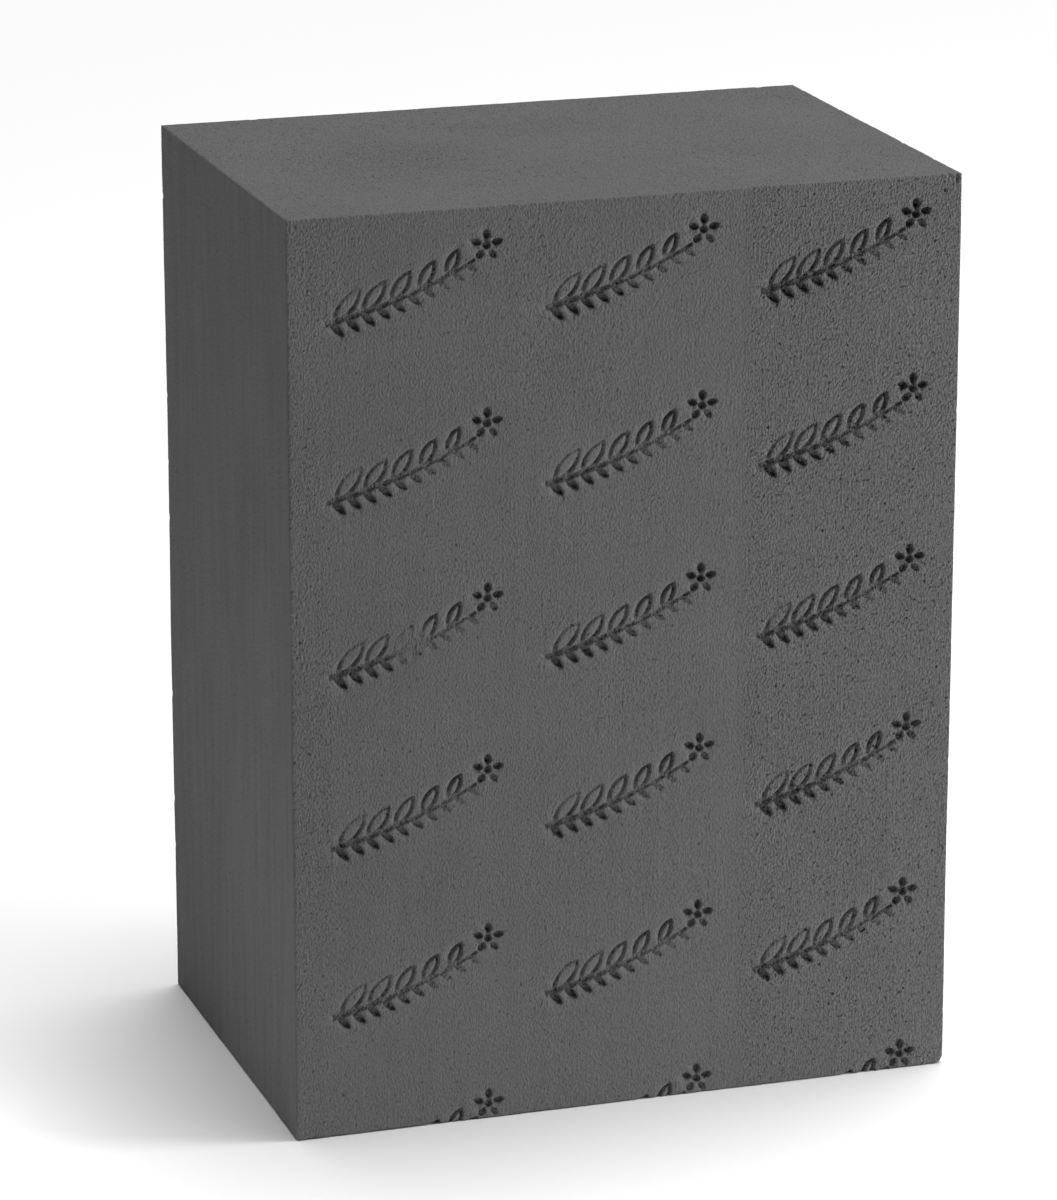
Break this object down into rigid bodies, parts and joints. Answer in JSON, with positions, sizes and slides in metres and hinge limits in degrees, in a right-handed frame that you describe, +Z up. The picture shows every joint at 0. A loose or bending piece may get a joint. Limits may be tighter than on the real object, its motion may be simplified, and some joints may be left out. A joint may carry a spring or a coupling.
{
  "type": "floral foam block",
  "caption": "Upright rectangular block of charcoal floral foam, sawn flat on every side, with rows of slanting leaf sprigs pressed into the front face.",
  "frame": {"origin": "centre of the underside, on the surface that the block stands on", "axes": "+Z up along the longest side, -Y out of the marked front face, +X to the right of someone who faces the front"},
  "size_m": [0.235, 0.16, 0.318],
  "materials": {
    "foam": "dead matt charcoal phenolic foam with a fine-celled sawn surface"
  },
  "bodies": {
    "root": {"foam_block": "foam"}
  },
  "joints": []
}
